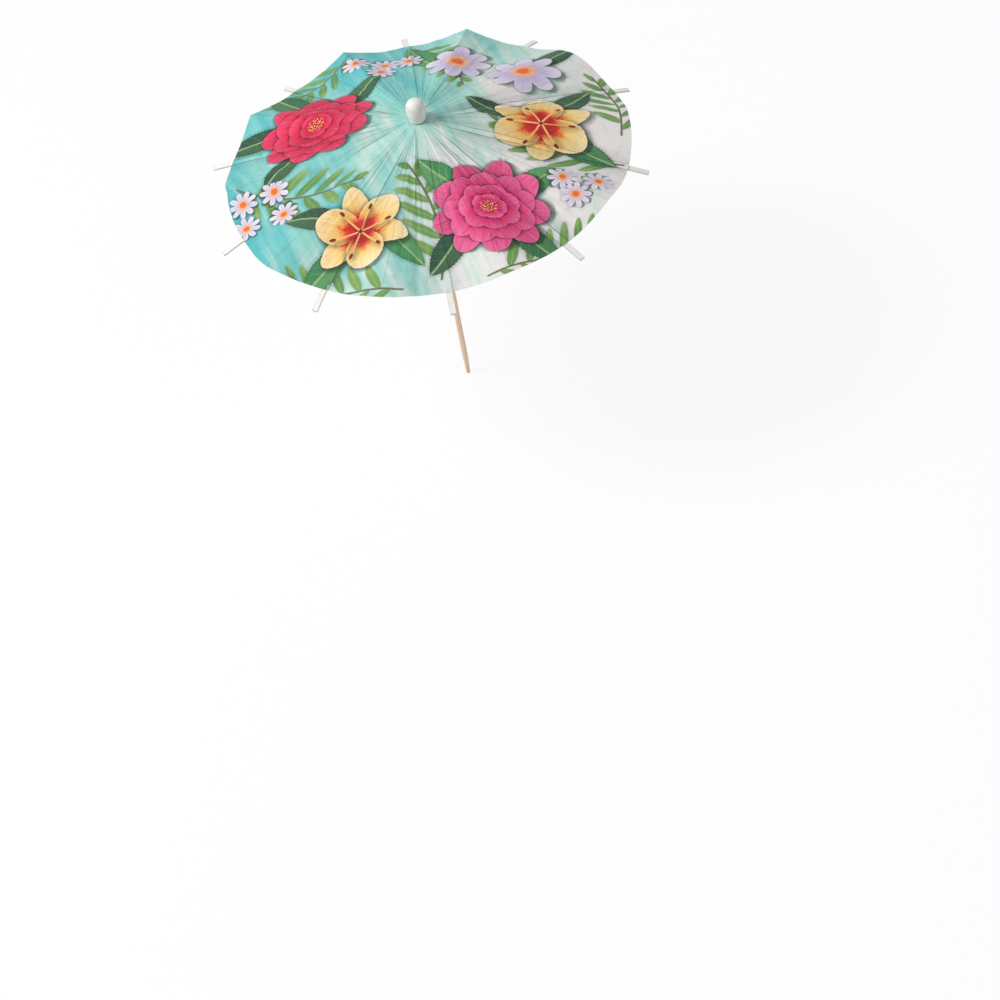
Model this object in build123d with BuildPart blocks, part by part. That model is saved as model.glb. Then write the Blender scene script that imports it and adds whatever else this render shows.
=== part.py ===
# Cocktail umbrella pick: a printed paper canopy on ten card ribs that folds down along a wooden pick.
# Frame: the stick runs up +Z, the seat plane of the shank is z = 0, and one rib points to -Y.
import os
from math import acos, atan2, cos, degrees, hypot, radians, sin, tan

from build123d import *

os.makedirs("parts", exist_ok=True)

# Canopy: paper edge and fold angles, with angles taken from the downward stick
rib_count = 10
rim_radius = 50.0
open_angle = 73.6
closed_angle = 8.0
half_panel_angle = 17.7
crown_apothem = 3.0
paper_thickness = 0.16

# Pick: a round birch stick with a thinned shank and a blunt point
apex_above_point = 83.0
shank_length = 31.0
point_length = 5.0
shank_diameter = 1.4
stick_diameter = 1.5
point_diameter = 0.9
thinning_length = 2.0
point_round = 0.2

# Cap: a small white moulding on the top end of the stick
cap_diameter = 4.8
cap_base_diameter = 4.1
cap_height = 6.0
cap_shoulder = 3.4
cap_round = 1.9
cap_lip_round = 0.25
cap_socket_depth = 4.2

# Ribs: flat strips of white card that show past the paper
rib_reach = 55.3
rib_width = 1.45
rib_thickness = 0.45
rib_root = 0.45
rib_corner = 0.3

# Struts: shorter strips that carry the ribs from the runner
strut_station = 18.0
strut_width = 1.25
strut_thickness = 0.4
tab_length = 3.2
tab_thickness = 0.2
head_length = 3.0

# Rolled card and paper on the stick
disc_thickness = 0.3
collar_diameter = 4.2
collar_length = 4.4
spacer_diameter = 3.6
runner_diameter = 4.6
runner_above_pivot = 2.0
runner_below_pivot = 5.6
lap_thickness = 0.12
lap_width = 1.5
ring_diameter = 4.4
ring_height = 2.0
ring_round = 0.7

# Clearances
glue_gap = 0.02
slide_gap = 0.05
stack_gap = 0.1
crease_gap = 0.1
ridge_gap = 0.3
pivot_gap = 0.12

# Heights along the stick, from the seat plane
spacing = 360 / rib_count
half_spacing = radians(spacing / 2)
open_turn = radians(open_angle)
closed_turn = radians(closed_angle)
point_z = -(shank_length + point_length)
apex_z = point_z + apex_above_point
crown_z = apex_z - crown_apothem / tan(open_turn)
cap_z = crown_z + paper_thickness
stick_top = cap_z + cap_socket_depth - stack_gap

# Flat sheet: the paper's radius, and how far each crease beside a rib lies from the rib's middle
crease_offset = crown_apothem * tan(half_spacing)
paper_radius = crown_apothem + (rim_radius - crown_apothem) / sin(open_turn)
rib_length = (rib_reach - crown_apothem) / sin(open_turn)


def panel_lift(rib_turn):
    """Angle by which a half panel stands up from its rib when the rib is at rib_turn."""
    across = sin(rib_turn) * cos(half_spacing)
    along = cos(rib_turn)
    flat = radians(half_panel_angle)
    ridge_turn = atan2(across, along) + acos(cos(flat) / hypot(across, along))
    return acos(sin(ridge_turn) * sin(half_spacing) / sin(flat))


open_lift = degrees(panel_lift(open_turn))
panel_fold = degrees(panel_lift(closed_turn)) - open_lift

# Strut linkage: equal arms, so the strut's inner end runs straight along the stick
pivot_drop = rib_thickness + pivot_gap + strut_thickness / 2
arm = hypot(strut_station, pivot_drop)
arm_slip = atan2(pivot_drop, strut_station)
open_arm = open_turn - arm_slip
closed_arm = closed_turn - arm_slip
runner_pivot_z = crown_z - 2 * arm * cos(open_arm)
travel = 2 * arm * (cos(closed_arm) - cos(open_arm))
runner_top = runner_pivot_z + runner_above_pivot
runner_bottom = runner_pivot_z - runner_below_pivot
ring_top = runner_bottom - stack_gap
collar_top = crown_z - disc_thickness
collar_bottom = collar_top - collar_length

print(f"rib fold {open_angle - closed_angle:.4f} deg, half panel fold {panel_fold:.4f} deg")
print(f"half panel lift {open_lift:.4f} deg, runner travel {travel:.5f} mm, crown z {crown_z:.5f} mm")

# Wooden pick, turned about Z
with BuildPart() as pick_stick:
    with BuildSketch(Plane.XZ):
        with BuildLine():
            Polyline(
                (0, point_z),
                (point_diameter / 2, point_z),
                (shank_diameter / 2, point_z + point_length),
                (shank_diameter / 2, 0),
                (stick_diameter / 2, thinning_length),
                (stick_diameter / 2, stick_top),
                (0, stick_top),
                close=True,
            )
        make_face()
    revolve(axis=Axis.Z)
    point_edge = pick_stick.edges().filter_by(GeomType.CIRCLE).sort_by(Axis.Z)[0]
    fillet(point_edge, point_round)
pick_stick.part.label = "pick_stick"
export_step(pick_stick.part, "parts/pick_stick.step")

# Cap: a domed bead, narrower at its foot, with a blind socket for the stick
with BuildPart() as top_cap:
    with BuildSketch(Plane.XZ):
        with BuildLine():
            Polyline(
                (0, cap_z),
                (cap_base_diameter / 2, cap_z),
                (cap_diameter / 2, cap_z + cap_shoulder),
                (cap_diameter / 2, cap_z + cap_height),
                (0, cap_z + cap_height),
                close=True,
            )
        make_face()
    revolve(axis=Axis.Z)
    cap_rims = top_cap.edges().filter_by(GeomType.CIRCLE).sort_by(Axis.Z)
    fillet(cap_rims[-1], cap_round)
    fillet(cap_rims[0], cap_lip_round)
    with Locations((0, 0, cap_z)):
        Cylinder(
            stick_diameter / 2 + glue_gap,
            cap_socket_depth,
            align=(Align.CENTER, Align.CENTER, Align.MIN),
            mode=Mode.SUBTRACT,
        )
top_cap.part.label = "top_cap"
export_step(top_cap.part, "parts/top_cap.step")

# Crown: the ten-sided middle of the paper, threaded on the stick under the cap
with BuildPart() as paper_crown:
    with BuildSketch(Plane.XY.offset(crown_z)):
        RegularPolygon(crown_apothem - crease_gap, rib_count, major_radius=False)
        Circle(stick_diameter / 2 + glue_gap, mode=Mode.SUBTRACT)
    extrude(amount=paper_thickness)
paper_crown.part.label = "paper_crown"
export_step(paper_crown.part, "parts/paper_crown.step")

# Hub disc: card of the same ten sides, gummed under the crown
with BuildPart() as hub_disc:
    with BuildSketch(Plane.XY.offset(crown_z)):
        RegularPolygon(crown_apothem - crease_gap, rib_count, major_radius=False)
        Circle(stick_diameter / 2 + glue_gap, mode=Mode.SUBTRACT)
    extrude(amount=-disc_thickness)
hub_disc.part.label = "hub_disc"
export_step(hub_disc.part, "parts/hub_disc.step")

# Hub collar: rolled card under the disc, with the bent-down rib heads gummed round it
with BuildPart() as hub_collar:
    with BuildSketch(Plane.XY.offset(collar_top)):
        Circle(collar_diameter / 2)
        with PolarLocations(collar_diameter / 2, rib_count, start_angle=-90):
            Rectangle(2 * tab_thickness, strut_width)
    extrude(amount=-head_length)
    with BuildSketch(Plane.XY.offset(collar_top)):
        Circle(collar_diameter / 2)
    extrude(amount=-collar_length)
    with BuildSketch(Plane.XY.offset(collar_top)):
        Circle(stick_diameter / 2 + glue_gap)
    extrude(amount=-collar_length, mode=Mode.SUBTRACT)
hub_collar.part.label = "hub_collar"
export_step(hub_collar.part, "parts/hub_collar.step")

# Spacer: newsprint rolled on the stick, with the lap where the strip ends
with BuildPart() as spacer_sleeve:
    with BuildSketch(Plane.XY.offset(collar_bottom)):
        Circle(spacer_diameter / 2 + lap_thickness)
        with Locations((spacer_diameter / 2, 0)):
            Rectangle(spacer_diameter / 2, lap_width, mode=Mode.INTERSECT)
        Circle(spacer_diameter / 2)
        Circle(stick_diameter / 2 + glue_gap, mode=Mode.SUBTRACT)
    extrude(amount=-(collar_bottom - runner_top - stack_gap))
spacer_sleeve.part.label = "spacer_sleeve"
export_step(spacer_sleeve.part, "parts/spacer_sleeve.step")

# Runner: a rolled card tube, with the struts' bent-down ends gummed round it
with BuildPart() as runner:
    with BuildSketch(Plane.XY.offset(runner_pivot_z)):
        Circle(runner_diameter / 2)
        with PolarLocations(runner_diameter / 2, rib_count, start_angle=-90):
            Rectangle(2 * tab_thickness, strut_width)
    extrude(amount=-tab_length)
    with BuildSketch(Plane.XY.offset(runner_bottom)):
        Circle(runner_diameter / 2)
    extrude(amount=runner_top - runner_bottom)
    with BuildSketch(Plane.XY.offset(runner_bottom)):
        Circle(stick_diameter / 2 + slide_gap)
    extrude(amount=runner_top - runner_bottom, mode=Mode.SUBTRACT)
runner.part.label = "runner"
export_step(runner.part, "parts/runner.step")

# Retaining ring: a soft plastic band under the runner
with BuildPart() as retaining_ring:
    with BuildSketch(Plane.XY.offset(ring_top)):
        Circle(ring_diameter / 2)
        Circle(stick_diameter / 2 + slide_gap, mode=Mode.SUBTRACT)
    extrude(amount=-ring_height)
    ring_rims = retaining_ring.edges().filter_by(GeomType.CIRCLE).sort_by(SortBy.RADIUS)
    fillet(ring_rims[-2:], ring_round)
retaining_ring.part.label = "retaining_ring"
export_step(retaining_ring.part, "parts/retaining_ring.step")

# Each rib carries a paper strip, two half panels of the canopy and a strut
for index in range(rib_count):
    bearing = radians(index * spacing - 90)
    number = f"{index + 1:02d}"
    outward = Vector(cos(bearing), sin(bearing), 0)
    along_rib = outward * sin(open_turn) + Vector(0, 0, -cos(open_turn))
    above_rib = outward * cos(open_turn) + Vector(0, 0, sin(open_turn))
    hinge_point = outward * crown_apothem + Vector(0, 0, crown_z)
    rib_plane = Plane(hinge_point, x_dir=along_rib, z_dir=above_rib)

    # Card rib below the paper, with the strut's gummed tab on its underside
    with BuildPart() as rib:
        with BuildSketch(rib_plane) as rib_outline:
            with Locations((rib_root, 0)):
                Rectangle(rib_length - rib_root, rib_width, align=(Align.MIN, Align.CENTER))
            fillet(rib_outline.vertices().sort_by(Axis.X)[-2:], rib_corner)
        extrude(amount=-rib_thickness)
        with BuildSketch(rib_plane.offset(-rib_thickness)):
            with Locations((strut_station - strut_thickness, 0)):
                Rectangle(tab_length, strut_width, align=(Align.MAX, Align.CENTER))
        extrude(amount=-tab_thickness)
    rib.part.label = f"rib_{number}"
    export_step(rib.part, f"parts/rib_{number}.step")

    # Strip of the paper that is gummed along the rib
    with BuildPart() as rib_paper:
        with BuildSketch(rib_plane):
            with Locations((crease_gap, 0)):
                Rectangle(
                    paper_radius,
                    2 * (crease_offset - crease_gap),
                    align=(Align.MIN, Align.CENTER),
                )
            with Locations((-crown_apothem, 0)):
                Circle(paper_radius, mode=Mode.INTERSECT)
        extrude(amount=paper_thickness)
    rib_paper.part.label = f"rib_paper_{number}"
    export_step(rib_paper.part, f"parts/rib_paper_{number}.step")

    # Half panels: they fold up from the rib's two creases and meet the next rib's at a ridge
    for side_name, side in (("right", 1), ("left", -1)):
        crease_place = Location((0, side * crease_offset, 0), (side * open_lift, 0, 0))
        panel_plane = Plane(rib_plane.location * crease_place)
        flat = radians(half_panel_angle)
        start = ridge_gap / sin(flat) + crease_gap / tan(flat)
        with BuildPart() as half_panel:
            with BuildSketch(panel_plane):
                with BuildLine():
                    Polyline(
                        (start, side * crease_gap),
                        (2 * paper_radius, side * crease_gap),
                        (2 * paper_radius, side * ((2 * paper_radius - start) * tan(flat) + crease_gap)),
                        close=True,
                    )
                make_face()
                with Locations((-crown_apothem, -side * crease_offset)):
                    Circle(paper_radius, mode=Mode.INTERSECT)
            extrude(amount=paper_thickness)
        half_panel.part.label = f"panel_{number}_{side_name}"
        export_step(half_panel.part, f"parts/panel_{number}_{side_name}.step")

    # Strut: a strip with rounded ends, from its pivot under the rib to the runner
    pivot_point = hinge_point + along_rib * strut_station - above_rib * pivot_drop
    strut_run = outward * sin(open_arm) + Vector(0, 0, cos(open_arm))
    strut_side = Vector(-sin(bearing), cos(bearing), 0)
    strut_plane = Plane(pivot_point - strut_run * arm, x_dir=strut_run, z_dir=strut_side)
    with BuildPart() as strut:
        with BuildSketch(strut_plane):
            with Locations((arm / 2, 0)):
                SlotCenterToCenter(arm, strut_thickness)
        extrude(amount=strut_width / 2, both=True)
    strut.part.label = f"strut_{number}"
    export_step(strut.part, f"parts/strut_{number}.step")
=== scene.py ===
import random
from math import atan2, cos, hypot, pi, radians, sin, sqrt, tan

import bmesh
import bpy
from mathutils import Matrix, Vector


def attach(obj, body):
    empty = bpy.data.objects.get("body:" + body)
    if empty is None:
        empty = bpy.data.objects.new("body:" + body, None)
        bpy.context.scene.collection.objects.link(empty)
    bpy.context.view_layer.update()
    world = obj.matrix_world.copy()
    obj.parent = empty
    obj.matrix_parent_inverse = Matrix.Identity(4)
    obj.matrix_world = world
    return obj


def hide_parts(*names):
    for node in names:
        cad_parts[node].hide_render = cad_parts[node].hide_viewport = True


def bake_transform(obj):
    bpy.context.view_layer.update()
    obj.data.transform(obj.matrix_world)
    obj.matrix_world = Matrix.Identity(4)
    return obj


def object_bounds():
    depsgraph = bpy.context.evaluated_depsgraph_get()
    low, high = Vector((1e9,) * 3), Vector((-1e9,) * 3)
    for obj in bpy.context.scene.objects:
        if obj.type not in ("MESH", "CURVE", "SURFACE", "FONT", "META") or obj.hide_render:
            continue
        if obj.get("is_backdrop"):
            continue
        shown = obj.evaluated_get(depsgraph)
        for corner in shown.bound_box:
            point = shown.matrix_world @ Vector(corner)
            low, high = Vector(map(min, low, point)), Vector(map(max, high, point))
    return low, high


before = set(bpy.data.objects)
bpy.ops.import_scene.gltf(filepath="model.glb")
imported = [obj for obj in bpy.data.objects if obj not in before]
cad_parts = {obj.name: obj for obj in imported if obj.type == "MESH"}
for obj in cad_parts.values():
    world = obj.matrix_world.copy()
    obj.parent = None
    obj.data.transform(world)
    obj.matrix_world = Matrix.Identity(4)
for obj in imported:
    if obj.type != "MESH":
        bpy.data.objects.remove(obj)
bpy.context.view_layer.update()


# Pick
# A thin round stick of pale birch, sanded smooth, with a blunt point cut on its lower end.
# The grain runs along it in fine tan streaks, and the cut point is a little browner.
mm = 0.001
point_z = -36.0
cone_z = -31.0
shank_top_z = 0.0
stick_start_z = 2.0
stick_top_z = 50.38
point_radius, shank_radius, stick_radius = 0.45, 0.70, 0.75
point_round = 0.2


class Wire:
    """A socket in a node tree. Arithmetic on it adds Math nodes, and node() adds any other node."""

    def __init__(self, socket):
        self.socket = socket

    def node(self, kind, settings=None, sockets=None, output=0):
        tree = self.socket.id_data
        made = tree.nodes.new(kind)
        for name, value in (settings or {}).items():
            setattr(made, name, value)
        for name, value in (sockets or {}).items():
            for one in value if isinstance(value, list) else [value]:
                if isinstance(one, Wire):
                    tree.links.new(one.socket, made.inputs[name])
                else:
                    made.inputs[name].default_value = one
        return Wire(made.outputs[output])

    def out(self, name):
        return Wire(self.socket.node.outputs[name])

    def math(self, operation, *others):
        return self.node("ShaderNodeMath", {"operation": operation}, dict(enumerate((self, *others))))

    def __add__(self, other):
        return self.math("ADD", other)

    def __sub__(self, other):
        return self.math("SUBTRACT", other)

    def __mul__(self, other):
        return self.math("MULTIPLY", other)

    def __truediv__(self, other):
        return self.math("DIVIDE", other)

    def __pow__(self, other):
        return self.math("POWER", other)

    def __rsub__(self, other):
        return self.node("ShaderNodeMath", {"operation": "SUBTRACT"}, {0: other, 1: self})

    def __rtruediv__(self, other):
        return self.node("ShaderNodeMath", {"operation": "DIVIDE"}, {0: other, 1: self})

    __radd__ = __add__
    __rmul__ = __mul__

    def ease(self, low, high):
        """Smooth step from 0 at low to 1 at high, or the other way where low is the greater."""
        return self.node(
            "ShaderNodeMapRange",
            {"interpolation_type": "SMOOTHSTEP"},
            {0: self, 1: low, 2: high},
        )

    def tint(self, first, second, way="MIX"):
        """Colour that goes from first to second as this value goes from 0 to 1."""
        return self.node(
            "ShaderNodeMix",
            {"data_type": "RGBA", "blend_type": way},
            {0: self, 6: first, 7: second},
            2,
        )

    def moved(self, centre=(0, 0, 0), turn=0.0, size=(1, 1, 1)):
        """This place seen from a centre, turned by an angle in degrees and measured in sizes."""
        return self.node(
            "ShaderNodeMapping",
            {"vector_type": "TEXTURE"},
            {0: self, 1: centre, 2: (0, 0, radians(turn)), 3: size},
        )

    def parts(self):
        split = self.node("ShaderNodeSeparateXYZ", {}, {0: self})
        return split, split.out("Y"), split.out("Z")

    def grain(self, detail=3.0, rough=0.5, twist=0.0):
        return self.node(
            "ShaderNodeTexNoise",
            {},
            {"Vector": self, "Scale": 1.0, "Detail": detail, "Roughness": rough, "Distortion": twist},
        )


def ink(red, green, blue):
    """Linear colour from the red, green and blue, 0 to 255, that it shows on a screen."""
    scaled = [value / 255 for value in (red, green, blue)]
    linear = [v / 12.92 if v <= 0.04045 else ((v + 0.055) / 1.055) ** 2.4 for v in scaled]
    return (*linear, 1.0)


def finish(name, roughness, specular=0.5):
    """A new material, its shader, and the place on the piece in millimetres."""
    made = bpy.data.materials.new(name)
    made.use_nodes = True
    shader = made.node_tree.nodes["Principled BSDF"]
    shader.inputs["Roughness"].default_value = roughness
    shader.inputs["Specular IOR Level"].default_value = specular
    place = Wire(made.node_tree.nodes.new("ShaderNodeTexCoord").outputs["Object"])
    return made, shader, place.moved(size=(mm, mm, mm))


def feed(shader, **wires):
    for socket, wire in wires.items():
        wire.socket.id_data.links.new(wire.socket, shader.inputs[socket.replace("_", " ")])


def relief(height, depth, strength=1.0):
    """Normal of a surface raised by height, at most depth in millimetres."""
    return height.node("ShaderNodeBump", {}, {"Strength": strength, "Distance": depth * mm, "Height": height})


def piece_of(name, shape, material):
    """A finished object from a bmesh, at the origin."""
    mesh = bpy.data.meshes.new(name)
    shape.to_mesh(mesh)
    shape.free()
    mesh.materials.append(material)
    made = bpy.data.objects.new(name, mesh)
    bpy.context.scene.collection.objects.link(made)
    return made


def turned(name, profile, sides, material, loop=False, uneven=0.0, waves=0.7):
    """A piece turned about the stick from pairs of radius and height in millimetres."""
    shape = bmesh.new()
    rows = []
    for radius, height in profile:
        if radius == 0:
            rows.append([shape.verts.new((0, 0, height * mm))] * sides)
            continue
        row = []
        for side in range(sides):
            angle = 2 * pi * side / sides
            ripple = sin(3 * angle + waves * height) + 0.6 * sin(5 * angle - 1.7 * waves * height)
            reach = radius * (1 + uneven * ripple) * mm
            row.append(shape.verts.new((reach * cos(angle), reach * sin(angle), height * mm)))
        rows.append(row)
    following = rows[1:] + rows[:1] if loop else rows[1:]
    for low, high in zip(rows, following):
        for side in range(sides):
            after = (side + 1) % sides
            corners = dict.fromkeys((low[side], low[after], high[after], high[side]))
            if len(corners) > 2:
                shape.faces.new(list(corners)).smooth = True
    bmesh.ops.recalc_face_normals(shape, faces=shape.faces)
    return piece_of(name, shape, material)


birch, shader, place = finish("birch", 0.62, 0.35)
long_grain = place.moved(size=(0.16, 0.16, 5.0)).grain(4.0, 0.6, 0.6)
fine_grain = place.moved(size=(0.05, 0.05, 2.2)).grain(2.0, 0.5)
flecks = place.moved(size=(0.09, 0.09, 0.9)).grain(1.0).ease(0.66, 0.74)
height = place.parts()[2]
wood = long_grain.ease(0.32, 0.72).tint(ink(252, 226, 198), ink(236, 198, 164))
wood = (fine_grain.ease(0.45, 0.75) * 0.45).tint(wood, ink(216, 172, 138))
wood = (flecks * 0.5).tint(wood, ink(182, 132, 98))
cut = (height + fine_grain * 1.6).ease(cone_z + 0.4, point_z + 1.0)
wood = (cut * 0.35).tint(wood, ink(200, 150, 116))
feed(shader, Base_Color=wood, Roughness=0.5 + 0.25 * fine_grain)
feed(shader, Normal=relief(fine_grain + long_grain, 0.05, 0.6))

profile = [(0, point_z)]
profile += [
    (point_radius - point_round + point_round * sin(a), point_z + point_round - point_round * cos(a))
    for a in (0, 0.5, 1.0, pi / 2)
]
for low, high, first, last, steps in (
    (point_z + 0.6, cone_z, point_radius + 0.02, shank_radius, 12),
    (cone_z + 0.6, shank_top_z, shank_radius, shank_radius, 40),
    (shank_top_z + 0.4, stick_start_z, shank_radius + 0.01, stick_radius, 4),
    (stick_start_z + 0.6, stick_top_z, stick_radius, stick_radius, 60),
):
    profile += [
        (first + (last - first) * step / steps, low + (high - low) * step / steps)
        for step in range(steps + 1)
    ]
profile.append((0, stick_top_z))
pick = turned("birch_pick", profile, 36, birch, uneven=0.010, waves=0.35)
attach(pick, "pick")
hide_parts("pick_stick")


# Retaining ring
# A short band of soft milky plastic, cut from tube, pushed on the stick under the runner.
# Friction keeps it where it is put, and its cut ends are rounded over.
ring_low, ring_high = 26.775, 28.775
ring_inner, ring_outer, ring_round, bore_round = 0.80, 2.20, 0.70, 0.1

ring_plastic, shader, place = finish("ring_plastic", 0.42, 0.5)
cloud = place.moved(size=(0.8, 0.8, 0.8)).grain(3.0)
feed(shader, Base_Color=cloud.ease(0.3, 0.7).tint(ink(246, 246, 243), ink(226, 227, 222)))
feed(shader, Roughness=0.32 + 0.25 * cloud)
feed(shader, Normal=relief(place.moved(size=(0.25, 0.25, 0.06)).grain(2.0), 0.02, 0.5))
shader.inputs["Subsurface Weight"].default_value = 0.15
shader.inputs["Subsurface Radius"].default_value = (0.0006, 0.0006, 0.0005)

quarter_round = [i * pi / 14 for i in range(8)]
profile = [(ring_inner, ring_low + bore_round), (ring_inner + bore_round, ring_low)]
for centre_z, first in ((ring_low + ring_round, -pi / 2), (ring_high - ring_round, 0.0)):
    profile += [
        (ring_outer - ring_round + ring_round * cos(first + a), centre_z + ring_round * sin(first + a))
        for a in quarter_round
    ]
profile += [(ring_inner + bore_round, ring_high), (ring_inner, ring_high - bore_round)]
ring = turned("retaining_band", profile, 56, ring_plastic, loop=True, uneven=0.004)
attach(ring, "ring")
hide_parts("retaining_ring")


# Runner
# A strip of card rolled tight into a tube that slides on the stick, with its last turn gummed down.
# Ten bent-down strut ends are gummed round it, each with a raised crease where its strut swings.
runner_low, runner_high, pivot_z = 28.875, 36.475, 34.475
runner_inner, runner_outer, runner_turns = 0.82, 2.28, 6.35
tab_thickness, tab_width, tab_drop = 0.22, 1.25, 3.2
half_card = 0.1
rib_count = 10


def tree_of(name, sizes, takes_path=False):
    """A new node group with these named sizes, and a wire from each of them."""
    tree = bpy.data.node_groups.new(name, "GeometryNodeTree")
    if takes_path:
        tree.interface.new_socket("Path", in_out="INPUT", socket_type="NodeSocketGeometry")
    for size, value in sizes.items():
        tree.interface.new_socket(size, in_out="INPUT", socket_type="NodeSocketFloat").default_value = value
    tree.interface.new_socket("Mesh", in_out="OUTPUT", socket_type="NodeSocketGeometry")
    entry = tree.nodes.new("NodeGroupInput")
    return tree, {socket.name: Wire(socket) for socket in entry.outputs if socket.name}


def close_tree(mesh, material):
    """Ends a node group: the mesh is made real and takes its material."""
    real = mesh.node("GeometryNodeRealizeInstances", {}, {"Geometry": mesh})
    dressed = real.node("GeometryNodeSetMaterial", {}, {"Geometry": real, "Material": material})
    tree = mesh.socket.id_data
    tree.links.new(dressed.socket, tree.nodes.new("NodeGroupOutput").inputs[0])


def grown(name, tree, sizes, data=None):
    """A plain mesh object from a node group with these sizes."""
    seed = bpy.data.objects.new(name + "_seed", data or bpy.data.meshes.new(name + "_seed"))
    bpy.context.scene.collection.objects.link(seed)
    modifier = seed.modifiers.new("grow", "NODES")
    modifier.node_group = tree
    for item in tree.interface.items_tree:
        if item.name in sizes:
            modifier[item.identifier] = float(sizes[item.name])
    graph = bpy.context.evaluated_depsgraph_get()
    solved = seed.evaluated_get(graph)
    mesh = bpy.data.meshes.new_from_object(solved, preserve_all_data_layers=True, depsgraph=graph)
    bpy.data.objects.remove(seed)
    mesh.name = name
    mesh.set_sharp_from_angle(angle=radians(35))
    made = bpy.data.objects.new(name, mesh)
    bpy.context.scene.collection.objects.link(made)
    return made


def path_of(name, points):
    """A line through points in millimetres, as curve data."""
    line = bpy.data.curves.new(name, "CURVE")
    line.dimensions = "3D"
    spline = line.splines.new("POLY")
    spline.points.add(len(points) - 1)
    for point, place in zip(spline.points, points):
        point.co = (*(value * mm for value in place), 1)
    return line


def stored(mesh, name, value, kind, domain):
    """The mesh or curve with a value kept on it under that name."""
    return mesh.node(
        "GeometryNodeStoreNamedAttribute",
        {"data_type": kind, "domain": domain},
        {"Geometry": mesh, "Name": name, "Value": value},
    )


def swept(curve, across, width, thickness):
    """A flat strip of that width and thickness along a curve, its width along across."""
    steady = curve.node(
        "GeometryNodeSetCurveNormal", {"mode": "FREE"}, {"Curve": curve, "Normal": across}
    )
    outline = curve.node(
        "GeometryNodeCurvePrimitiveQuadrilateral", {}, {"Width": width, "Height": thickness}
    )
    aside = outline.node("GeometryNodeInputPosition").parts()[0] / (width / 2)
    outline = stored(outline, "aside", aside, "FLOAT", "POINT")
    steady = stored(steady, "onward", steady.node("GeometryNodeSplineParameter"), "FLOAT", "POINT")
    return steady.node(
        "GeometryNodeCurveToMesh", {}, {"Curve": steady, "Profile Curve": outline, "Fill Caps": True}
    )


def rolled_tree(name, material):
    """Node group for a strip rolled into a tube from its inner radius to its outer one."""
    tree, size = tree_of(
        name, {"Inner": 1.0, "Outer": 2.0, "Turns": 6.0, "Low": 0.0, "High": 1.0, "Sheet": 0.1, "Start": 0.0}
    )
    spiral = size["Turns"].node(
        "GeometryNodeCurveSpiral",
        {},
        {"Resolution": 72, "Rotations": size["Turns"], "Start Radius": size["Inner"] * mm,
         "End Radius": size["Outer"] * mm, "Height": 0.0},
    )
    tube = swept(spiral, (0, 0, 1), (size["High"] - size["Low"]) * mm, size["Sheet"] * mm)
    middle = (size["High"] + size["Low"]) * (mm / 2)
    lift = middle.node("ShaderNodeCombineXYZ", {}, {"Z": middle})
    turn = size["Start"].node("ShaderNodeCombineXYZ", {}, {"Z": size["Start"]})
    stood = tube.node(
        "GeometryNodeTransform", {}, {"Geometry": tube, "Translation": lift, "Rotation": turn}
    )
    close_tree(stood, material)
    return tree


def card(name, light, dark, fleck_and_edge_shade, speck, cut=0.0):
    """Material of uncoated board: cloudy pulp, fine fibres and a few specks, with painted shade that greys
    its cut edges.
    """
    made, shader, place = finish(name, 0.85, 0.25)
    pulp = place.moved(size=(2.4, 2.4, 2.4)).grain(3.0)
    fibre = place.moved(turn=35, size=(0.5, 0.12, 0.4)).grain(3.0, 0.6)
    tone = (0.55 * pulp + 0.45 * fibre).ease(0.3, 0.7).tint(light, dark)
    specks = place.moved(size=(0.35, 0.35, 0.35)).grain(1.0).ease(0.70, 0.78)
    tone = (specks * speck).tint(tone, fleck_and_edge_shade)
    aside = place.node("ShaderNodeAttribute", {"attribute_name": "aside"}, {}, "Fac").math("ABSOLUTE")
    onward = place.node("ShaderNodeAttribute", {"attribute_name": "onward"}, {}, "Fac")
    # Painted shade: cut sets how far the cut edges, and a thin band beside them, turn to the fleck colour,
    # for the shade on the card's thin sides.
    edges = aside.ease(0.80, 1.0).math("MAXIMUM", onward.ease(0.994, 1.0))
    feed(shader, Base_Color=(edges * cut).tint(tone, fleck_and_edge_shade), Roughness=0.75 + 0.2 * fibre)
    feed(shader, Normal=relief(fibre, 0.03, 0.5))
    return made


rolled_card = card("rolled_card", ink(238, 233, 222), ink(220, 212, 197), ink(168, 150, 124), 0.5)
# This card's cut edges are greyed by painted shade at a strength of 0.55.
rib_card = card("rib_card", ink(246, 245, 242), ink(236, 234, 229), ink(150, 143, 134), 0.25, 0.55)

card_roll = rolled_tree("card_roll", rolled_card)
runner_sizes = {"Inner": runner_inner + half_card, "Outer": runner_outer - half_card, "Turns": runner_turns,
                "Low": runner_low, "High": runner_high, "Sheet": 0.19, "Start": 0.6}
runner = grown("runner_roll", card_roll, runner_sizes)
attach(runner, "runner")
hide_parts("runner")

tab_round, size = tree_of(
    "gummed_tabs", {"Width": 1.0, "Thickness": 0.2, "Count": 10.0, "First": 0.0}, takes_path=True
)
strip = swept(size["Path"], (0, 1, 0), size["Width"] * mm, size["Thickness"] * mm)
spots = size["Count"].node("GeometryNodePoints", {}, {"Count": size["Count"]})
number = spots.node("GeometryNodeInputIndex")
bearing = size["First"] + number * (2 * pi) / size["Count"]
turn = bearing.node("ShaderNodeCombineXYZ", {}, {"Z": bearing})
ring_of_tabs = spots.node(
    "GeometryNodeInstanceOnPoints", {}, {"Points": spots, "Instance": strip, "Rotation": turn}
)
close_tree(ring_of_tabs, rib_card)

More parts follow.
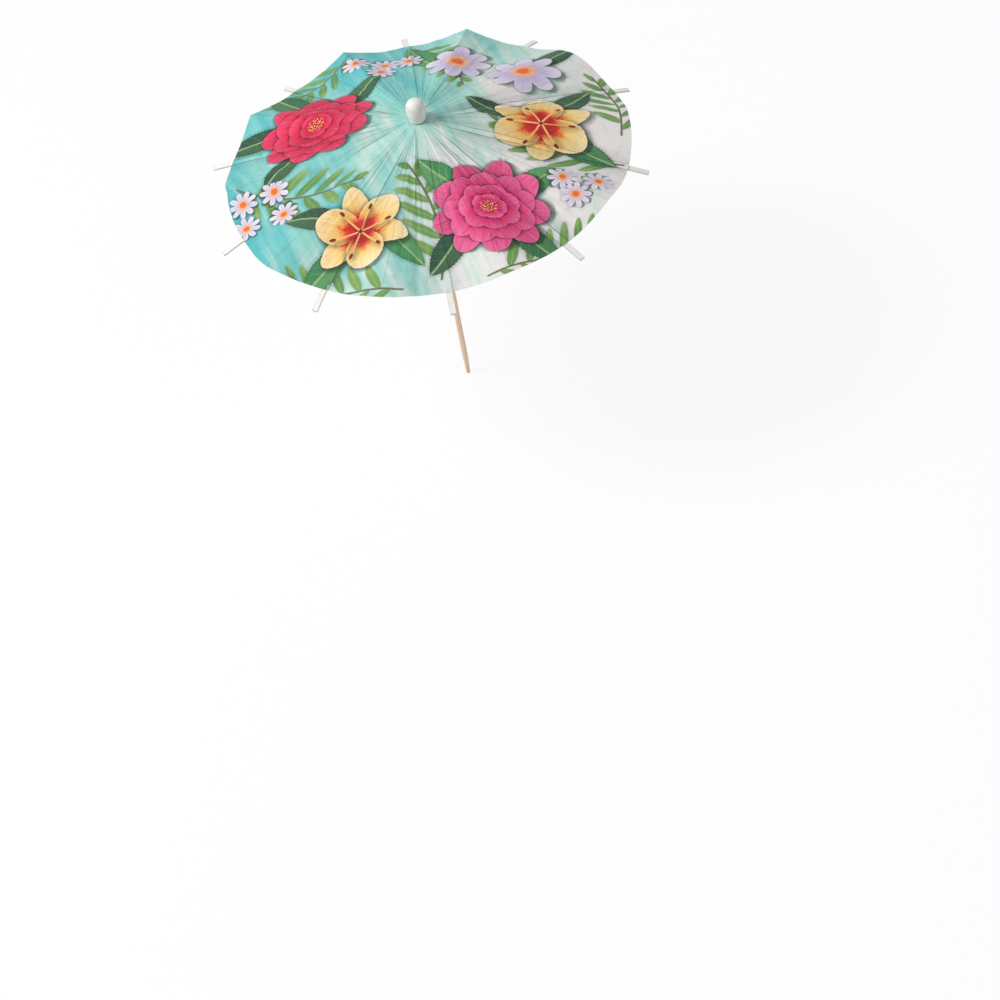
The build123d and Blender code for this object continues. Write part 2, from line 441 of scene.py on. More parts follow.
tab_radius = runner_outer + tab_thickness / 2
knuckle = [
    (tab_radius, 0, pivot_z - tab_drop),
    (tab_radius, 0, pivot_z - 0.5),
    (tab_radius + 0.06, 0, pivot_z - 0.15),
    (tab_radius + 0.24, 0, pivot_z + 0.06),
    (tab_radius + 0.42, 0, pivot_z + 0.05),
]
tab_sizes = {"Width": tab_width, "Thickness": tab_thickness, "Count": rib_count, "First": -pi / 2}
runner_tabs = grown("strut_ends_on_runner", tab_round, tab_sizes, path_of("knuckle", knuckle))
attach(runner_tabs, "runner")


# Spacer
# A strip of grey newsprint rolled on the stick above the runner, which stops the runner when open.
# Its outer turn ends in a loose lap, and its edge shows the turns of thin paper.
spacer_low, spacer_high = 36.575, 41.417
spacer_inner, spacer_outer, spacer_turns = 0.77, 1.86, 8.4

newsprint, shader, place = finish("rolled_newsprint", 0.9, 0.2)
pulp = place.moved(size=(1.2, 1.2, 1.2)).grain(4.0, 0.6)
fibre = place.moved(turn=20, size=(0.3, 0.08, 0.3)).grain(3.0, 0.65)
smudge = place.moved(size=(0.9, 0.9, 0.28)).grain(2.0).ease(0.52, 0.66)
tone = (0.5 * pulp + 0.5 * fibre).ease(0.3, 0.7).tint(ink(222, 216, 203), ink(196, 188, 172))
feed(shader, Base_Color=(smudge * 0.35).tint(tone, ink(150, 146, 140)), Roughness=0.8 + 0.15 * fibre)
feed(shader, Normal=relief(fibre, 0.03, 0.6))

spacer_sizes = {"Inner": spacer_inner + 0.06, "Outer": spacer_outer - 0.05, "Turns": spacer_turns,
                "Low": spacer_low, "High": spacer_high, "Sheet": 0.11, "Start": 2.1}
spacer = grown("spacer_roll", rolled_tree("newsprint_roll", newsprint), spacer_sizes)
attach(spacer, "pick")
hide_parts("spacer_sleeve")


# Hub
# A collar of rolled card gummed on the stick, with a small ten-sided card disc on its top.
# The ten rib heads are bent down and gummed round the collar, so each rib swings on its own crease.
collar_low, collar_high = 41.417, 45.817
collar_inner, collar_outer, collar_turns = 0.77, 2.08, 5.6

collar_sizes = {"Inner": collar_inner + half_card, "Outer": collar_outer - half_card, "Turns": collar_turns,
                "Low": collar_low, "High": collar_high, "Sheet": 0.2, "Start": 4.0}
collar = grown("hub_roll", card_roll, collar_sizes)
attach(collar, "pick")
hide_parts("hub_collar")

disc_low, disc_high, disc_reach, disc_hole, disc_round = 45.83, 45.99, 2.85, 0.78, 0.04
disc = turned(
    "hub_card_disc",
    [(disc_hole, disc_low), (disc_reach - disc_round, disc_low), (disc_reach, disc_low + disc_round),
     (disc_reach, disc_high - disc_round), (disc_reach - disc_round, disc_high), (disc_hole, disc_high)],
    rib_count, rib_card, loop=True,
)
disc.data.set_sharp_from_angle(angle=radians(30))
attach(disc, "pick")
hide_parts("hub_disc")


# Ribs
# Ten flat strips of white card, die cut, gummed under the paper and showing past its edge.
# Each is creased at the hub, where a bent-down head holds it to the collar.
open_turn = radians(73.6)
crown_apothem, crown_z = 3.0, 46.11705
rib_length, rib_root = 54.52, 0.45
rib_width, rib_thickness, rib_drop = 1.45, 0.32, 0.13
head_length, head_thickness = 3.0, 0.2


def on_rib(along, above, aside=0.0):
    """Point in millimetres on the rib that points along +X, from its hinge line."""
    return (
        crown_apothem + along * sin(open_turn) + above * cos(open_turn),
        aside,
        crown_z - along * cos(open_turn) + above * sin(open_turn),
    )


def rib_bearing(index):
    return 2 * pi * index / rib_count - pi / 2


def about_stick(point, bearing):
    """A point in millimetres turned about the stick, in metres."""
    return Matrix.Rotation(bearing, 3, "Z") @ Vector(point) * mm


strip_tree, size = tree_of("card_strip", {"Width": 1.0, "Thickness": 0.3, "Bearing": 0.0}, takes_path=True)
strip = swept(size["Path"], (0, 1, 0), size["Width"] * mm, size["Thickness"] * mm)
turn = strip.node("ShaderNodeCombineXYZ", {}, {"Z": size["Bearing"]})
close_tree(strip.node("GeometryNodeTransform", {}, {"Geometry": strip, "Rotation": turn}), rib_card)

chance = random.Random(12)
bare_start, rib_steps = 47.0, 30
rib_sizes = {"Width": rib_width, "Thickness": rib_thickness}
rib_middle = -rib_drop - rib_thickness / 2
head_radius = collar_outer + 0.12
neck = [
    (head_radius, 0, collar_high - head_length),
    (head_radius, 0, collar_high - 0.75),
    (head_radius + 0.05, 0, collar_high - 0.45),
    (head_radius + 0.2, 0, collar_high - 0.25),
    (head_radius + 0.45, 0, collar_high - 0.17),
    on_rib(0.1, rib_middle - 0.08),
    on_rib(0.8, rib_middle),
]
for index in range(rib_count):
    number = f"{index + 1:02d}"
    bearing = rib_bearing(index)
    length = rib_length + chance.uniform(-0.7, 0.1)
    droop, sway = chance.uniform(-0.15, 0.35), chance.uniform(-0.45, 0.45)
    points = [on_rib(rib_root, rib_middle)]
    for step in range(1, rib_steps + 1):
        along = rib_root + (length - rib_root) * step / rib_steps
        bare = max(0.0, (along - bare_start) / (rib_length - bare_start)) ** 2
        points.append(on_rib(along, rib_middle - droop * bare, sway * bare))
    rib = grown(f"card_rib_{number}", strip_tree, {**rib_sizes, "Bearing": bearing}, path_of("rib", points))
    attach(rib, f"rib_{number}")
    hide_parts(f"rib_{number}")

    head = grown(f"rib_head_{number}", strip_tree,
                 {"Width": tab_width, "Thickness": head_thickness, "Bearing": bearing}, path_of("neck", neck))
    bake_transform(head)


# Struts
# Ten shorter strips of the same card, each gummed by a folded-back tab under its rib.
# The other end is creased on the runner, so the struts push the ribs up as the runner slides.
strut_station, pivot_drop = 18.0, 0.77
strut_width, strut_thickness, tab_length = 1.25, 0.26, 3.2
arm = hypot(strut_station, pivot_drop)
open_arm = open_turn - atan2(pivot_drop, strut_station)
pivot = Vector(on_rib(strut_station, -pivot_drop))
strut_run = Vector((sin(open_arm), 0, cos(open_arm)))
tab_middle = -rib_drop - rib_thickness - strut_thickness / 2 - 0.01

strut_points = [pivot - strut_run * (arm - 0.05 - (arm - 0.45) * step / 12) for step in range(13)]
fold_end = strut_station - 0.1
fold = [
    strut_points[-1],
    Vector(on_rib(strut_station + 0.02, -0.82)),
    Vector(on_rib(fold_end, tab_middle)),
]
fold_steps = 6
for step in range(1, fold_steps + 1):
    share = step / fold_steps
    strut_points.append(
        fold[0] * (1 - share) ** 2 + fold[1] * 2 * share * (1 - share) + fold[2] * share ** 2
    )
strut_points += [
    Vector(on_rib(fold_end - tab_length * step / 4, tab_middle)) for step in range(1, 5)
]
for index in range(rib_count):
    number = f"{index + 1:02d}"
    bearing = rib_bearing(index)
    strut = grown(f"card_strut_{number}", strip_tree,
                  {"Width": strut_width, "Thickness": strut_thickness, "Bearing": bearing},
                  path_of("strut", strut_points))
    about_stick(on_rib(strut_station, -0.73), bearing)
    about_stick(on_rib(strut_station, -0.98), bearing)
    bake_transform(strut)
    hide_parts(f"strut_{number}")


# Canopy
# One disc of thin printed paper, gummed to the ribs along ten flat strips and folded up to a ridge
# between each pair. It is bright on top, paler below, and gathers in fine pleats towards the stick.
paper_radius, flat_angle = 51.993, radians(17.7)
open_lift = radians(8.2016)
crease_offset = crown_apothem * tan(pi / rib_count)
paper_thickness = 0.09
ridge_sag, sag_by_rib, sag_fall = 0.0138, 1.5, 0.9
soft_swell, soft_turn, ridge_thinning = 0.0284, 0.388, 2.4
ridge_softness = (0.9, 0.9, 0.9, 0.8, 0.0, 0.0, 0.05, 0.35, 0.8, 0.9)
ridge_trim = (0.5, -0.1, -0.3, -0.1, 0.9, 0.8, 0.2, -1.9, 0.5, 0.8)
rib_trim = (-0.9, -0.9, 0.0, 1.0, -0.1, -0.4, -0.4, -0.4, -1.0, -1.0)
print_span = 120.0

printed_paper, shader, place = finish("printed_paper", 0.7, 0.3)
uv = place.node("ShaderNodeUVMap", {"uv_map": "print"})
spot = uv.moved(centre=(0.5, 0.5, 0), size=(1 / print_span, 1 / print_span, 1))


def nearest(seats):
    """The print seen from the nearest of several seats: centre in mm, turn in degrees, and sizes."""
    place = best = None
    for order, (centre, turn, wide, long) in enumerate(seats):
        local = spot.moved(centre=(*centre, -order), turn=turn, size=(wide, long, 1))
        level = local.moved(size=(1, 1, 1e6))
        far = level.node("ShaderNodeVectorMath", {"operation": "LENGTH"}, {0: level}, "Value")
        if place is None:
            place, best = local, far
            continue
        nearer = far.math("LESS_THAN", best)
        place = nearer.node("ShaderNodeMix", {"data_type": "VECTOR"}, {0: nearer, 4: place, 5: local}, 1)
        best = best.math("MINIMUM", far)
    return place


def by_chance(number, lot):
    """A value from 0 to 1 that is settled by a whole number."""
    return number.node("ShaderNodeTexWhiteNoise", {"noise_dimensions": "1D"}, {"W": number + lot})


def petals(place, count, turn, inner, outer, full, base_pull, tip_pull):
    """A ring of petals: share along each one, distance across it, distance inside its edge, number."""
    x, y, _ = place.parts()
    reach = (x * x + y * y).math("SQRT")
    step = 2 * pi / count
    swing = y.math("ARCTAN2", x) + turn
    number = (swing / step + 0.5).math("FLOOR")
    bend = swing - number * step
    across = reach * bend.math("SINE")
    share = (reach * bend.math("COSINE") - inner) / (outer - inner)
    kept = share.math("MINIMUM", 1.0).math("MAXIMUM", 0.0)
    half = kept ** base_pull * (1 - kept) ** tip_pull * full
    inside = half - across.math("ABSOLUTE") - (share - kept).math("ABSOLUTE") * (outer - inner)
    return kept, across, inside, number.math("FLOORED_MODULO", count)


def flower_ring(under, place, form, deep, middle, light, lot, ragged=0.5, shade=0.5):
    """Lays a ring of painted petals, each with veins, a pale rim and a soft shadow, over a colour."""
    share, across, inside, number = petals(place, *form)
    lengthwise = {0: across * 2.4, 1: share * 1.6, 2: number * 3.7 + lot}
    veins = place.node("ShaderNodeCombineXYZ", {}, lengthwise).grain(3.0, 0.6)
    inside = inside + (veins - 0.5) * ragged
    tone = share.ease(0.0, 0.75).tint(deep, middle)
    tone = (share.ease(0.45, 1.0) * 0.8).tint(tone, light)
    tone = (veins.ease(0.45, 0.68) * 0.45).tint(tone, deep)
    tone = (inside.ease(0.7, 0.0) * 0.5).tint(tone, light)
    tone = (across.math("ABSOLUTE").ease(0.3, 0.0) * (1 - share) * 0.6).tint(tone, deep)
    tone = (by_chance(number, lot) * 0.35).tint(tone, deep)
    under = (inside.ease(-1.5, 0.2) * shade).tint(under, ink(52, 44, 58), "MULTIPLY")
    return inside.ease(-0.06, 0.08).tint(under, tone)


def cast(under, place, form, depth, throw=1.0):
    """Darkens a colour with the soft shadow of a ring of petals that stands off to its upper left."""
    inside = petals(place.moved(centre=(0.9 * throw, -throw, 0)), *form)[2]
    return (inside.ease(-1.5 * throw, 0.9 * throw) * depth).tint(under, ink(70, 84, 84), "MULTIPLY")


# A brushed wash, from turquoise to off-white
broad = spot.moved(turn=14, size=(15.0, 70.0, 1.0)).grain(3.0, 0.5, 0.5)
brushed = spot.moved(turn=14, size=(2.6, 34.0, 1.0)).grain(4.0, 0.6, 0.3)
speckle = spot.moved(size=(1.4, 1.4, 1.0)).grain(3.0, 0.7)
east, north, _ = spot.parts()
drift = (east * 0.9 + north * -0.45).ease(-46, 30)
tide = 0.55 * broad + 0.25 * brushed + 0.28 * drift
colour = tide.ease(0.38, 0.52).tint(ink(90, 186, 190), ink(143, 208, 200))
colour = tide.ease(0.50, 0.63).tint(colour, ink(200, 225, 215))
colour = tide.ease(0.60, 0.72).tint(colour, ink(236, 231, 229))
colour = (brushed.ease(0.60, 0.74) * 0.5).tint(colour, ink(238, 232, 229))
colour = (speckle.ease(0.5, 0.72) * 0.16).tint(colour, ink(110, 176, 178))

# Where the motifs sit: centre in mm, turn in degrees, and two sizes
blooms = [((-25, 15), 8, 1, 1), ((13, -28.5), 31, 0.96, 0.96)]
lilies = [((29, -2), 20, 1, 1), ((-18, -27), -28, 0.95, 0.95)]
stars = [((27.5, 22), 5, 1, 1), ((12, 31), 40, 0.9, 0.9)]
sprigs = [
    ((-3, -29), 96, 1, 1), ((32, -7), 152, 1, -1), ((-31, -6.5), -22, 1, 1), ((7, 32.5), -70, 0.9, -0.9),
    ((-23.5, -40.5), 152, 0.9, -0.9), ((23, -41.5), 26, 0.9, 0.9), ((45.5, 7), 97, 0.85, 0.85),
    ((-25.5, 39), 215, 0.8, -0.8),
]
sprays = [((-38, -10), 9.5), ((-6, 37), 9.0), ((33, -25), 8.5)]

# Sprigs: paired leaflets on a curved twig
pitch, sprig_length = 5.2, 34.0
x, y, order = nearest(sprigs).parts()
x = x + sprig_length / 2
y = y - x * (x - sprig_length) * 0.011
lean = y.math("ABSOLUTE")
hand = y.math("SIGN")
slid = x - lean * 0.75 + hand * (pitch / 4)
leaflet = (slid / pitch).math("FLOOR")
offset = slid - (leaflet + 0.5) * pitch
root = (leaflet + 0.5) * pitch - hand * (pitch / 4)
length = (root.ease(-4.0, 8.0) * root.ease(40.0, 16.0)) * 8.0 + 0.01
share = (lean / length).math("MINIMUM", 1.0)
half = (share * (1 - share)).math("SQRT") * (pitch * 0.62)
inside = half - offset.math("ABSOLUTE") - (lean - length).math("MAXIMUM", 0.0)
onward = root.math("GREATER_THAN", 2.5) * root.math("LESS_THAN", 33.0)
leaf = inside.ease(-0.05, 0.15) * onward
green = by_chance(leaflet + hand * 17 + order * 31, 2.0).tint(ink(124, 164, 92), ink(92, 140, 80))
green = (offset.math("ABSOLUTE").ease(0.22, 0.0) * 0.5).tint(green, ink(176, 204, 140))
green = (share.ease(0.5, 1.0) * 0.35).tint(green, ink(178, 204, 128))
colour = (inside.ease(-0.9, 0.3) * onward * 0.25).tint(colour, ink(96, 120, 110), "MULTIPLY")
colour = leaf.tint(colour, green)
twig = lean.ease(0.42, 0.22) * x.ease(0.0, 0.5) * x.ease(35.0, 33.0)
colour = twig.tint(colour, ink(112, 118, 92))

# Broad leaves with a pale midrib and a toothed edge
leaves = [
    ((-31, 31), 118, 9.5, 4.4), ((-41, 19), 172, 9, 4.0), ((-13, 25), 48, 8.5, 3.9), ((-34, 2), 222, 8, 3.8),
    ((22, -40), -48, 9, 4.2), ((2, -38), 228, 8.5, 4.0), ((25, -22), 28, 8, 3.6), ((3, -18), 128, 8, 3.6),
    ((37, 8), 50, 8.5, 4), ((38, -11), -35, 8.5, 3.9), ((18, 5), 140, 7.5, 3.5), ((-28, -35), 220, 8.5, 4.0),
    ((-29, -20), 150, 8, 3.7), ((-9, -35), -55, 8, 3.6), ((36, 29), 40, 8, 3.7), ((3, 40), 110, 8, 3.7),
]
blade = nearest(leaves)
x, y, order = blade.parts()
share = (x * 0.5 + 0.5).math("MINIMUM", 1.0).math("MAXIMUM", 0.0)
half = share ** 0.75 * (1 - share) ** 0.9 * 2.9
width = y.math("ABSOLUTE")
teeth = (x * 60).math("SINE") * 0.03
inside = half - width + teeth * half - (x.math("ABSOLUTE") - 1).math("MAXIMUM", 0.0)
ribs = (x * 22 - width * 9).math("SINE").ease(0.75, 1.0)
dark = by_chance(order, 5.0).ease(0.35, 0.65)
green = dark.tint(ink(70, 140, 88), ink(44, 82, 60))
light_green = dark.tint(ink(116, 172, 112), ink(84, 118, 84))
green = (y.ease(-0.1, 0.1) * 0.45).tint(green, light_green)
green = (ribs * 0.4).tint(green, light_green)
green = (width.ease(0.09, 0.03) * 0.8).tint(green, ink(168, 196, 140))
green = (inside.ease(0.22, 0.0) * 0.35).tint(green, ink(34, 62, 46))
colour = (inside.ease(-0.32, 0.1) * 0.4).tint(colour, ink(80, 104, 96), "MULTIPLY")
colour = inside.ease(-0.01, 0.04).tint(colour, green)

# Sprays of small daisies, one in each cell that lies near a spray's centre
cell = spot.node(
    "ShaderNodeTexVoronoi",
    {"voronoi_dimensions": "2D", "feature": "F1"},
    {"Vector": spot, "Scale": 1 / 7.6, "Randomness": 0.45},
)
seat = cell.out("Position")
place = spot.node("ShaderNodeVectorMath", {"operation": "SUBTRACT"}, {0: spot, 1: seat})
chosen = None
for centre, radius in sprays:
    near = seat.node("ShaderNodeVectorMath", {"operation": "DISTANCE"}, {0: seat, 1: (*centre, 0)}, "Value")
    near = near.math("LESS_THAN", radius)
    chosen = near if chosen is None else chosen.math("MAXIMUM", near)
lucky = cell.out("Color").parts()[0]
lilac, pale_lilac = ink(192, 176, 216), ink(238, 233, 242)
turned_place = place.node(
    "ShaderNodeVectorRotate", {"rotation_type": "Z_AXIS"}, {"Vector": place, "Angle": lucky * 6.0}
)
form = (9, 0.0, 0.3, 3.7, 1.35, 0.7, 0.35)
before = colour
colour = cast(colour, turned_place, form, 0.75, 0.45)
colour = flower_ring(colour, turned_place, form, lilac, pale_lilac, pale_lilac, 3.0, 0.12, 0.3)
centre = place.node("ShaderNodeVectorMath", {"operation": "LENGTH"}, {0: place}, "Value")
colour = (centre.ease(1.9, 0.7) * 0.9).tint(colour, ink(250, 178, 88))
colour = centre.ease(1.0, 0.6).tint(colour, ink(236, 112, 48))
colour = chosen.tint(before, colour)

# Large daisies with an orange middle
place = nearest(stars)
form = (8, 0.2, 0.4, 9.2, 4.6, 0.75, 0.42)
colour = cast(colour, place, form, 0.75)
mauve, soft_mauve, pale_mauve = ink(184, 168, 212), ink(214, 204, 228), ink(241, 236, 243)
colour = flower_ring(colour, place, form, mauve, soft_mauve, pale_mauve, 9.0, 0.35, 0.35)
x, y, _ = place.parts()
centre = (x * x + y * y).math("SQRT") + (place.grain(3.0) - 0.5) * 1.6
colour = (centre.ease(4.6, 1.6) * 0.9).tint(colour, ink(251, 184, 96))
colour = (centre.ease(2.2, 1.2) * 0.9).tint(colour, ink(233, 92, 56))

# Lilies with a red throat and six stamens
place = nearest(lilies)
outer_form = (3, 0.0, 0.3, 13.0, 8.2, 0.62, 0.62)
inner_form = (3, pi / 3, 0.3, 12.0, 11.0, 0.6, 0.55)
straw, cream = ink(247, 216, 132), ink(252, 240, 200)
colour = cast(cast(colour, place, outer_form, 0.7), place, inner_form, 0.7)
for lot, form in ((21.0, outer_form), (27.0, inner_form)):
    colour = flower_ring(colour, place, form, ink(240, 168, 84), straw, cream, lot, 0.7, 0.5)
    share, across, inside, _ = petals(place, *form)
    blush = place.moved(size=(0.8, 0.8, 1)).grain(3.0, 0.6)
    throat = 0.62 - share - across.math("ABSOLUTE") * 0.085 + (blush - 0.5) * 0.35
    covered = inside.ease(-0.06, 0.08)
    colour = (throat.ease(0.0, 0.2) * covered * 0.9).tint(colour, ink(239, 120, 56))
    colour = (throat.ease(0.12, 0.3) * covered * 0.95).tint(colour, ink(210, 30, 44))
colour = cast(colour, place, (6, pi / 6, 0.5, 7.4, 0.42, 0.1, 0.1), 0.5)
inside = petals(place, 6, pi / 6, 0.5, 7.2, 0.26, 0.05, 0.02)[2]
colour = inside.ease(-0.05, 0.08).tint(colour, ink(252, 190, 120))
inside = petals(place, 6, pi / 6, 6.4, 8.2, 0.95, 0.5, 0.5)[2]
colour = inside.ease(-0.05, 0.08).tint(colour, ink(122, 48, 28))

# Full blooms of four rings of petals
place = nearest(blooms)
second = place.parts()[2].math("ABSOLUTE")
rose = second.tint(ink(176, 6, 44), ink(186, 14, 76))
hot = second.tint(ink(224, 22, 72), ink(230, 44, 112))
blush_pink = second.tint(ink(242, 84, 122), ink(247, 126, 178))
back_form = (9, 0.0, 1.0, 14.6, 9.4, 0.8, 0.52)
middle_form = (9, pi / 9, 0.8, 11.4, 8.8, 0.8, 0.5)
front_form = (7, 0.2, 0.5, 7.6, 7.2, 0.8, 0.48)
heart_form = (5, 0.5, 0.2, 4.2, 5.0, 0.8, 0.45)
colour = cast(colour, place, back_form, 0.8)
for lot, form in ((41.0, back_form), (47.0, middle_form), (53.0, front_form), (59.0, heart_form)):
    colour = flower_ring(colour, place, form, rose, hot, blush_pink, lot, 0.6, 0.7)
x, y, _ = place.parts()
centre = (x * x + y * y).math("SQRT")
grains = place.node(
    "ShaderNodeTexVoronoi", {"voronoi_dimensions": "2D"}, {"Vector": place, "Scale": 1.7, "Randomness": 0.9}
)
colour = (grains.ease(0.34, 0.2) * centre.ease(2.6, 1.8)).tint(colour, ink(254, 206, 120))

# Creases beside the ribs, gathers towards the stick, fibres and the bare underside
around = north.math("ARCTAN2", east)
reach = (east * east + north * north).math("SQRT")
sector = 2 * pi / rib_count
swung = (around + pi / 2) / sector
rib_number = (swung + 0.5).math("FLOOR")
swung = (swung - rib_number) * sector
off_rib = (reach * swung.math("SINE")).math("ABSOLUTE")
off_ridge = reach * (sector / 2 - swung.math("ABSOLUTE")).math("SINE")
# A patchy noise that sets where the crease lines and the painted shade beside them fall, and shifts the lines
# a little.
crease_patchiness = spot.moved(size=(9.0, 9.0, 1.0)).grain(3.0, 0.6)
flank = rib_number * 2 + swung.math("GREATER_THAN", 0.0)
pressed = by_chance(flank, 71.0).ease(0.3, 0.8) * crease_patchiness.ease(0.2, 0.5) * reach.ease(5.0, 14.0)
beside_rib = off_rib - crease_offset + (crease_patchiness - 0.5) * 0.7
by_rib = beside_rib.math("ABSOLUTE").ease(0.26, 0.0) * pressed
# Dark crease lines: partly the folds' own marks, partly painted shade in the creases.
creases = by_rib.math("MAXIMUM", off_ridge.ease(0.2, 0.0) * 0.35)
# Painted shade: the panel beside a pressed crease gets darker towards the crease, over about 5 mm.
painted_valley_shade = beside_rib.ease(5.0, 0.0) * beside_rib.math("GREATER_THAN", 0.0) * pressed
mottle = spot.moved(size=(3.2, 3.2, 1.0)).grain(4.0, 0.65)
rays = {0: around.math("COSINE") * 9, 1: around.math("SINE") * 9, 2: reach * 0.03}
gathers = around.node("ShaderNodeCombineXYZ", {}, rays).grain(2.0, 0.55)
gathered = reach.ease(36.0, 5.0)
colour = (mottle.ease(0.48, 0.75) * 0.20).tint(colour, ink(150, 146, 150), "MULTIPLY")
# Painted shade beside the pressed creases.
colour = (painted_valley_shade * 0.22).tint(colour, ink(84, 128, 136), "MULTIPLY")
# Crease lines darken the colour: the folds' own marks together with painted shade.
colour = (creases * 0.7).tint(colour, ink(70, 92, 92), "MULTIPLY")
# Painted shade: the gathers darken the paper in radial streaks, most strongly towards the stick.
colour = (gathers.ease(0.40, 0.75) * gathered * 0.24).tint(colour, ink(84, 118, 118), "MULTIPLY")
fibre = spot.moved(turn=25, size=(0.9, 0.16, 1.0)).grain(3.0, 0.6)
colour = (fibre.ease(0.55, 0.8) * 0.10).tint(colour, ink(250, 250, 248))
below = colour.node("ShaderNodeAttribute", {"attribute_name": "inside"}, {}, "Fac")
pulp = spot.moved(size=(2.2, 2.2, 1.0)).grain(4.0, 0.6)
bare = pulp.ease(0.3, 0.7).tint(ink(244, 243, 239), ink(230, 229, 224))
through = (0.24 + 0.06 * pulp).tint(bare, colour)
feed(shader, Base_Color=below.tint(colour, through), Roughness=0.6 + 0.2 * fibre)
feed(shader, Normal=relief(gathers * gathered + fibre * 0.12 + creases * -0.5, 0.12, 0.7))

# Half a panel: a flat strip on the rib, then a fan that rises to the ridge
paper_tree, size = tree_of(
    "folded_paper",
    {"Bearing": 0.0, "Side": 1.0, "Soft": 0.0, "Trim": 0.0, "Hem": 0.0,
     "Pleat": 0.0, "Pleats": 3.0, "Buckle": 0.0, "Phase": 0.0},
)
strip_columns, fan_columns, rows = 3, 40, 56
columns = strip_columns + fan_columns
grid = size["Side"].node(
    "GeometryNodeMeshGrid", {}, {0: 1.0, 1: 1.0, 2: columns + 1, 3: rows + 1}
)
x, y, _ = grid.node("GeometryNodeInputPosition").parts()
share = 0.5 - size["Side"] * x
strip = (share * (columns / strip_columns)).math("MINIMUM", 1.0)
fan = ((share * columns - strip_columns) / fan_columns).math("MAXIMUM", 0.0)
aside = strip * crease_offset
swing = fan * flat_angle
lead = swing.math("COSINE") * crown_apothem + swing.math("SINE") * aside
edge = (lead * lead - crown_apothem ** 2 - aside * aside + paper_radius ** 2).math("SQRT") - lead
towards_ridge = fan ** 4 + (fan * fan * (3 - 2 * fan) - fan ** 4) * size["Soft"]
edge = edge + size["Hem"] + (size["Trim"] - size["Hem"]) * towards_ridge
reach = (y + 0.5) * edge
hill = 4 * fan * (1 - fan)
where = reach.node(
    "ShaderNodeCombineXYZ", {}, {"X": fan * size["Pleats"], "Y": reach * 0.03, "Z": size["Phase"]}
)
pleat = size["Pleat"] * reach * (reach / -18.0).math("EXPONENT") * (where.grain(2.0, 0.6) - 0.4) * hill
where = reach.node(
    "ShaderNodeCombineXYZ", {}, {"X": reach * 0.07, "Y": fan * 1.3 + size["Phase"], "Z": size["Bearing"]}
)
buckle = size["Buckle"] * (where.grain(2.0) - 0.5) * hill * (reach / 20.0).math("MINIMUM", 1.0)
sharp_ridge = hill * (sag_by_rib - sag_fall * fan) * -ridge_sag
soft_ridge = hill * (fan - soft_turn) * soft_swell
bulge = pleat + buckle + (sharp_ridge + (soft_ridge - sharp_ridge) * size["Soft"]) * reach
along = reach * swing.math("COSINE")
outward = reach * swing.math("SINE")
across = (aside + outward * cos(open_lift) - bulge * sin(open_lift)) * size["Side"]
above = outward * sin(open_lift) + bulge * cos(open_lift)
radial = crown_apothem + along * sin(open_turn) + above * cos(open_turn)
height = crown_z - along * cos(open_turn) + above * sin(open_turn)
east, north = size["Bearing"].math("COSINE"), size["Bearing"].math("SINE")
paper_x, paper_y = radial * east - across * north, radial * north + across * east
layout = x.node("ShaderNodeCombineXYZ", {}, {0: paper_x / print_span + 0.5, 1: paper_y / print_span + 0.5})
target = x.node("ShaderNodeCombineXYZ", {}, {0: paper_x * mm, 1: paper_y * mm, 2: height * mm})
thinning = (reach * (1 - fan) * (flat_angle / ridge_thinning)).math("MINIMUM", 1.0)


def welded(mesh):
    return mesh.node("GeometryNodeMergeByDistance", {}, {"Geometry": mesh, "Distance": 0.001 * mm})


marked = stored(stored(grid, "print", layout, "FLOAT2", "CORNER"), "thinning", thinning, "FLOAT", "POINT")
sheet = welded(marked.node("GeometryNodeSetPosition", {}, {"Geometry": marked, "Position": target}))
smooth = sheet.node("GeometryNodeSetShadeSmooth", {}, {"Geometry": sheet})
kept = smooth.node("GeometryNodeInputNamedAttribute", {"data_type": "FLOAT"}, {"Name": "thinning"})
lower = smooth.node(
    "GeometryNodeExtrudeMesh",
    {"mode": "FACES"},
    {"Mesh": smooth, "Offset Scale": kept * (-paper_thickness * mm), "Individual": False},
)
lower = stored(lower.node("GeometryNodeFlipFaces", {}, {"Mesh": lower}), "inside", 1.0, "FLOAT", "FACE")
both = smooth.node("GeometryNodeJoinGeometry", {}, {"Geometry": [smooth, lower]})
close_tree(welded(both), printed_paper)

# The flat half panel's area, from its crease to the edge of the disc
steps = 200
flat_area = 0.0
for step in range(steps):
    angle = flat_angle * (step + 0.5) / steps
    lead = crown_apothem * cos(angle) + crease_offset * sin(angle)
    reach = sqrt(lead ** 2 - crown_apothem ** 2 - crease_offset ** 2 + paper_radius ** 2) - lead
    flat_area += reach ** 2 / 2 * flat_angle / steps
flat_length = paper_radius - crown_apothem
flat_area += crease_offset * flat_length
flat_width = crease_offset + reach * sin(flat_angle)
for index in range(rib_count):
    number = f"{index + 1:02d}"
    bearing = rib_bearing(index)
    for side_name, side, ridge in (("right", 1, index), ("left", -1, index - 1)):
        paper = grown(
            f"canopy_paper_{number}_{side_name}",
            paper_tree,
            {"Bearing": bearing, "Side": side,
             "Soft": ridge_softness[ridge], "Trim": ridge_trim[ridge], "Hem": rib_trim[index],
             "Pleat": chance.uniform(0.15, 0.26), "Pleats": chance.uniform(3.2, 5.5),
             "Buckle": chance.uniform(0.15, 0.4), "Phase": chance.uniform(0, 2 * pi)},
        )
        crease = about_stick(on_rib(0, 0, side * (crease_offset - 0.1)), bearing)
        beyond = about_stick(on_rib(0, 0, side * (crease_offset + 0.1)), bearing)
        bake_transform(paper)
        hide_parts(f"panel_{number}_{side_name}")
        if side == 1:
            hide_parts(f"rib_paper_{number}")
        flat_width * mm
        flat_area * mm * mm

